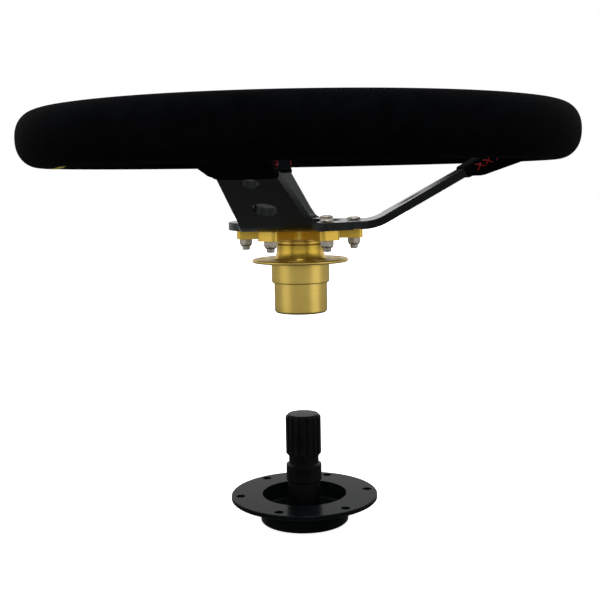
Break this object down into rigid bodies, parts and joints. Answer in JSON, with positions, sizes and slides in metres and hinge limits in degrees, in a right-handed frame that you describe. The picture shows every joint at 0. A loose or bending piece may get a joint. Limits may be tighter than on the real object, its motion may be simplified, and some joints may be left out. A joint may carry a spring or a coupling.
{
  "type": "quick release steering wheel",
  "caption": "Dished three-spoke suede steering wheel on a gold ball-lock coupler with a pull-back release sleeve, held above its black splined hub.",
  "frame": {"origin": "middle of the hub boss's lower face, the face it rests on", "axes": "+Z along the steering axis towards the driver, +Y to twelve o'clock, +X to three o'clock"},
  "size_m": [0.35, 0.35, 0.2695],
  "materials": {
    "suede": "black brushed suede, matt with a soft nap, red thread at the spokes",
    "yellow_suede": "yellow suede strip at twelve o'clock",
    "rim_foam": "black moulded polyurethane foam",
    "core_aluminium": "mill finish",
    "black_anodised": "satin black anodised, sharp reflections at grazing angles",
    "gold_anodised": "gold anodised, fine turned finish",
    "black_oxide_steel": "black oxide, lightly oiled",
    "spring_steel": "drawn spring wire",
    "ball_steel": "polished bearing steel",
    "stainless": "plain stainless"
  },
  "bodies": {
    "hub": {"hub_flange": "black_anodised", "splined_shaft": "black_oxide_steel", "shaft_screw": "black_oxide_steel"},
    "wheel": {"coupler_hub": "gold_anodised", "spline_tube": "gold_anodised", "snap_ring": "spring_steel", "collar_spring": "spring_steel", "spoke_plate": "black_anodised", "rim_core": "core_aluminium", "rim_foam": "rim_foam", "rim_cover": "suede", "centre_mark": "yellow_suede", "spoke_sleeve_left": "suede", "spoke_sleeve_right": "suede", "spoke_sleeve_lower": "suede", "plate_screw_1": "stainless", "plate_screw_2": "stainless", "plate_screw_3": "stainless", "plate_screw_4": "stainless", "plate_screw_5": "stainless", "plate_screw_6": "stainless", "plate_nut_1": "stainless", "plate_nut_2": "stainless", "plate_nut_3": "stainless", "plate_nut_4": "stainless", "plate_nut_5": "stainless", "plate_nut_6": "stainless"},
    "collar": {"release_collar": "gold_anodised"},
    "ball_1": {"lock_ball_1": "ball_steel"},
    "ball_2": {"lock_ball_2": "ball_steel"},
    "ball_3": {"lock_ball_3": "ball_steel"},
    "ball_4": {"lock_ball_4": "ball_steel"}
  },
  "joints": [
    {"name": "wheel_lift", "type": "slide", "parent": "hub", "child": "wheel", "axis": [0, 0, 1], "range_m": [-0.1256, 0]},
    {"name": "collar_slide", "type": "slide", "parent": "wheel", "child": "collar", "axis": [0, 0, 1], "range_m": [-0.0045, 0], "stiffness_N_per_m": 300, "springref_m": -0.004, "deforming": ["collar_spring"]},
    {"name": "ball_1_slide", "type": "slide", "parent": "wheel", "child": "ball_1", "axis": [0.7071, 0.7071, 0], "range_m": [-0.0015, 0]},
    {"name": "ball_2_slide", "type": "slide", "parent": "wheel", "child": "ball_2", "axis": [-0.7071, 0.7071, 0], "range_m": [-0.0015, 0]},
    {"name": "ball_3_slide", "type": "slide", "parent": "wheel", "child": "ball_3", "axis": [-0.7071, -0.7071, 0], "range_m": [-0.0015, 0]},
    {"name": "ball_4_slide", "type": "slide", "parent": "wheel", "child": "ball_4", "axis": [0.7071, -0.7071, 0], "range_m": [-0.0015, 0]}
  ],
  "couplings": [
    {"joint": "ball_1_slide", "follows": "collar_slide", "ratio": 0.33333},
    {"joint": "ball_2_slide", "follows": "collar_slide", "ratio": 0.33333},
    {"joint": "ball_3_slide", "follows": "collar_slide", "ratio": 0.33333},
    {"joint": "ball_4_slide", "follows": "collar_slide", "ratio": 0.33333}
  ]
}
